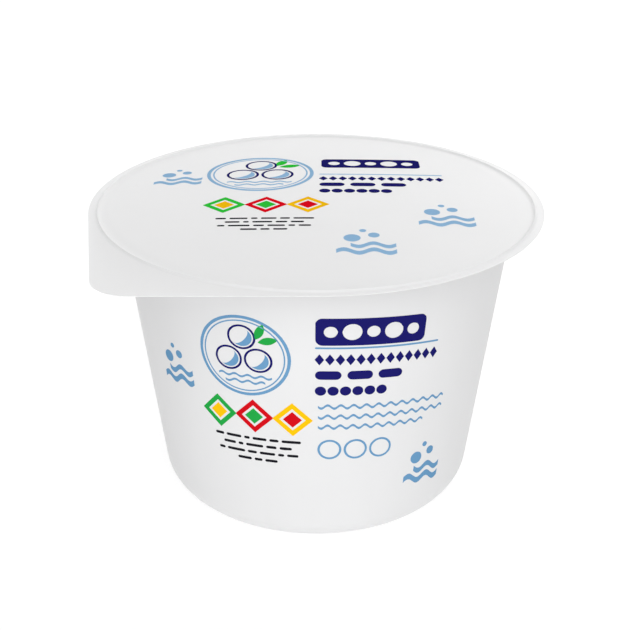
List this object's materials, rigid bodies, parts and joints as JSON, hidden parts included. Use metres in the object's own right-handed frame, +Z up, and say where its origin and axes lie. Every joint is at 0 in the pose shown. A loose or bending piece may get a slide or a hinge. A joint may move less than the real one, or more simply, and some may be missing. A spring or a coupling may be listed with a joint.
{
  "type": "sealed mozzarella tub",
  "caption": "Sealed round tub for mozzarella in brine: a tapered white plastic cup with a thin flange, and a peel-off film lid with a rounded corner pull tab.",
  "frame": {"origin": "on the tub's axis, in the plane that the foot ring stands on", "axes": "+Z up along the tub's axis; -Y is the printed front; the film's pull tab points to the front left, between -X and -Y"},
  "size_m": [0.12, 0.12, 0.0814],
  "materials": {
    "tub_plastic": "smooth satin white polypropylene, lightly glossy, printed at the front",
    "lid_film_white": "semi-matt white printed sealing film with a very fine grain"
  },
  "bodies": {
    "root": {"tub": "tub_plastic", "lid_film": "lid_film_white"}
  },
  "joints": []
}
